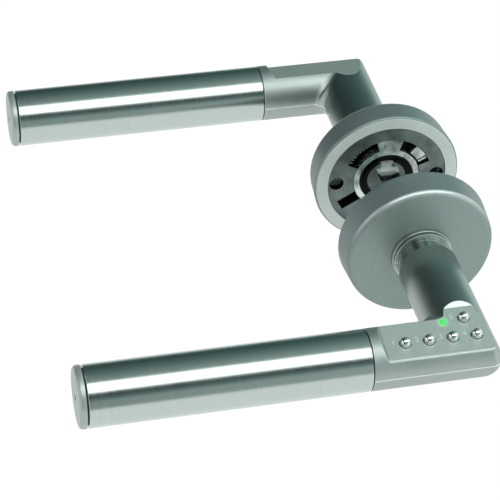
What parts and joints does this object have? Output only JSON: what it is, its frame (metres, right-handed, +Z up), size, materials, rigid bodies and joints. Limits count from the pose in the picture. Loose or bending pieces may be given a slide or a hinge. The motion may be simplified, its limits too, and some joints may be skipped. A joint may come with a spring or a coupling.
{
  "type": "keypad lever handle set",
  "caption": "Pair of L-shaped lever door handles on round roses; the outside lever's elbow carries domed keypad buttons and a status light, and sprung levers share a square spindle.",
  "frame": {"origin": "on the spindle axis, in the middle of the door's thickness", "axes": "+Y along the spindle from the outside (keypad) handle to the inside handle, +Z up, levers point to -X"},
  "size_m": [0.1583, 0.1804, 0.0546],
  "materials": {
    "rose_satin": "satin",
    "satin_casting": "satin",
    "grip_steel": "fine brushed",
    "bright_steel": "polished",
    "button_steel": "polished",
    "plate_steel": "zinc plated",
    "spring_steel": "drawn wire",
    "screw_steel": "plain",
    "black_steel": "blackened",
    "black_nylon": "matt",
    "green_lens": "clear, lit",
    "board_green": "solder mask",
    "cell_wrap": "wrapped",
    "contact_brass": "bright"
  },
  "bodies": {
    "roses": {"outer_rose_cover": "rose_satin", "outer_rose_plate": "plate_steel", "outer_bearing_bush": "bright_steel", "outer_stop_block": "plate_steel", "outer_return_spring": "spring_steel", "inner_rose_cover": "rose_satin", "inner_rose_plate": "plate_steel", "inner_bearing_bush": "bright_steel", "inner_stop_block": "plate_steel", "inner_return_spring": "spring_steel"},
    "outer_lever": {"outer_follower": "bright_steel", "outer_hub_washer": "black_nylon", "outer_hub_circlip": "black_steel", "outer_stop_ring": "black_nylon", "outer_neck_ring": "bright_steel", "outer_neck_sleeve": "bright_steel", "outer_elbow_upper": "satin_casting", "outer_elbow_lower": "satin_casting", "outer_elbow_screws": "screw_steel", "outer_neck_screw": "screw_steel", "outer_grip_tube": "grip_steel", "outer_end_cap": "grip_steel", "outer_cap_screw": "screw_steel", "outer_cap_anchor": "black_nylon", "status_lens": "green_lens", "keypad_board": "board_green", "tact_switches": "black_nylon", "battery_cells": "cell_wrap", "battery_sleeve": "black_nylon", "battery_contact": "contact_brass", "clutch_solenoid": "black_steel"},
    "inner_lever": {"inner_follower": "bright_steel", "inner_hub_washer": "black_nylon", "inner_hub_circlip": "black_steel", "inner_stop_ring": "black_nylon", "inner_neck_ring": "bright_steel", "inner_neck_sleeve": "bright_steel", "inner_elbow_upper": "satin_casting", "inner_elbow_lower": "satin_casting", "inner_elbow_screws": "screw_steel", "inner_neck_screw": "screw_steel", "inner_grip_tube": "grip_steel", "inner_end_cap": "grip_steel", "inner_cap_screw": "screw_steel", "inner_cap_anchor": "black_nylon", "spindle": "screw_steel", "spindle_driver": "screw_steel", "spindle_clip": "bright_steel"},
    "button_1": {"button_1": "button_steel"},
    "button_2": {"button_2": "button_steel"},
    "button_3": {"button_3": "button_steel"},
    "button_4": {"button_4": "button_steel"},
    "button_5": {"button_5": "button_steel"},
    "clutch": {"clutch_plunger": "screw_steel"}
  },
  "joints": [
    {"name": "outer_lever_turn", "type": "hinge", "parent": "roses", "child": "outer_lever", "pos_m": [0, 0, 0], "axis": [0, -1, 0], "range_deg": [0, 42], "stiffness_Nm_per_rad": 1, "springref_deg": -45.84, "deforming": ["outer_return_spring"]},
    {"name": "inner_lever_turn", "type": "hinge", "parent": "roses", "child": "inner_lever", "pos_m": [0, 0, 0], "axis": [0, -1, 0], "range_deg": [0, 42], "stiffness_Nm_per_rad": 1, "springref_deg": -45.84, "deforming": ["inner_return_spring"]},
    {"name": "button_1_press", "type": "slide", "parent": "outer_lever", "child": "button_1", "axis": [0, 0.1736, -0.9848], "range_m": [0, 0.0005], "stiffness_N_per_m": 400, "springref_m": -0.002},
    {"name": "button_2_press", "type": "slide", "parent": "outer_lever", "child": "button_2", "axis": [0, 0.1736, -0.9848], "range_m": [0, 0.0005], "stiffness_N_per_m": 400, "springref_m": -0.002},
    {"name": "button_3_press", "type": "slide", "parent": "outer_lever", "child": "button_3", "axis": [0, 0.1736, -0.9848], "range_m": [0, 0.0005], "stiffness_N_per_m": 400, "springref_m": -0.002},
    {"name": "button_4_press", "type": "slide", "parent": "outer_lever", "child": "button_4", "axis": [0, 0.1736, -0.9848], "range_m": [0, 0.0005], "stiffness_N_per_m": 400, "springref_m": -0.002},
    {"name": "button_5_press", "type": "slide", "parent": "outer_lever", "child": "button_5", "axis": [0, 0.1736, -0.9848], "range_m": [0, 0.0005], "stiffness_N_per_m": 400, "springref_m": -0.002},
    {"name": "clutch_slide", "type": "slide", "parent": "outer_lever", "child": "clutch", "axis": [0, 1, 0], "range_m": [0, 0.0025], "stiffness_N_per_m": 100, "springref_m": -0.004}
  ]
}
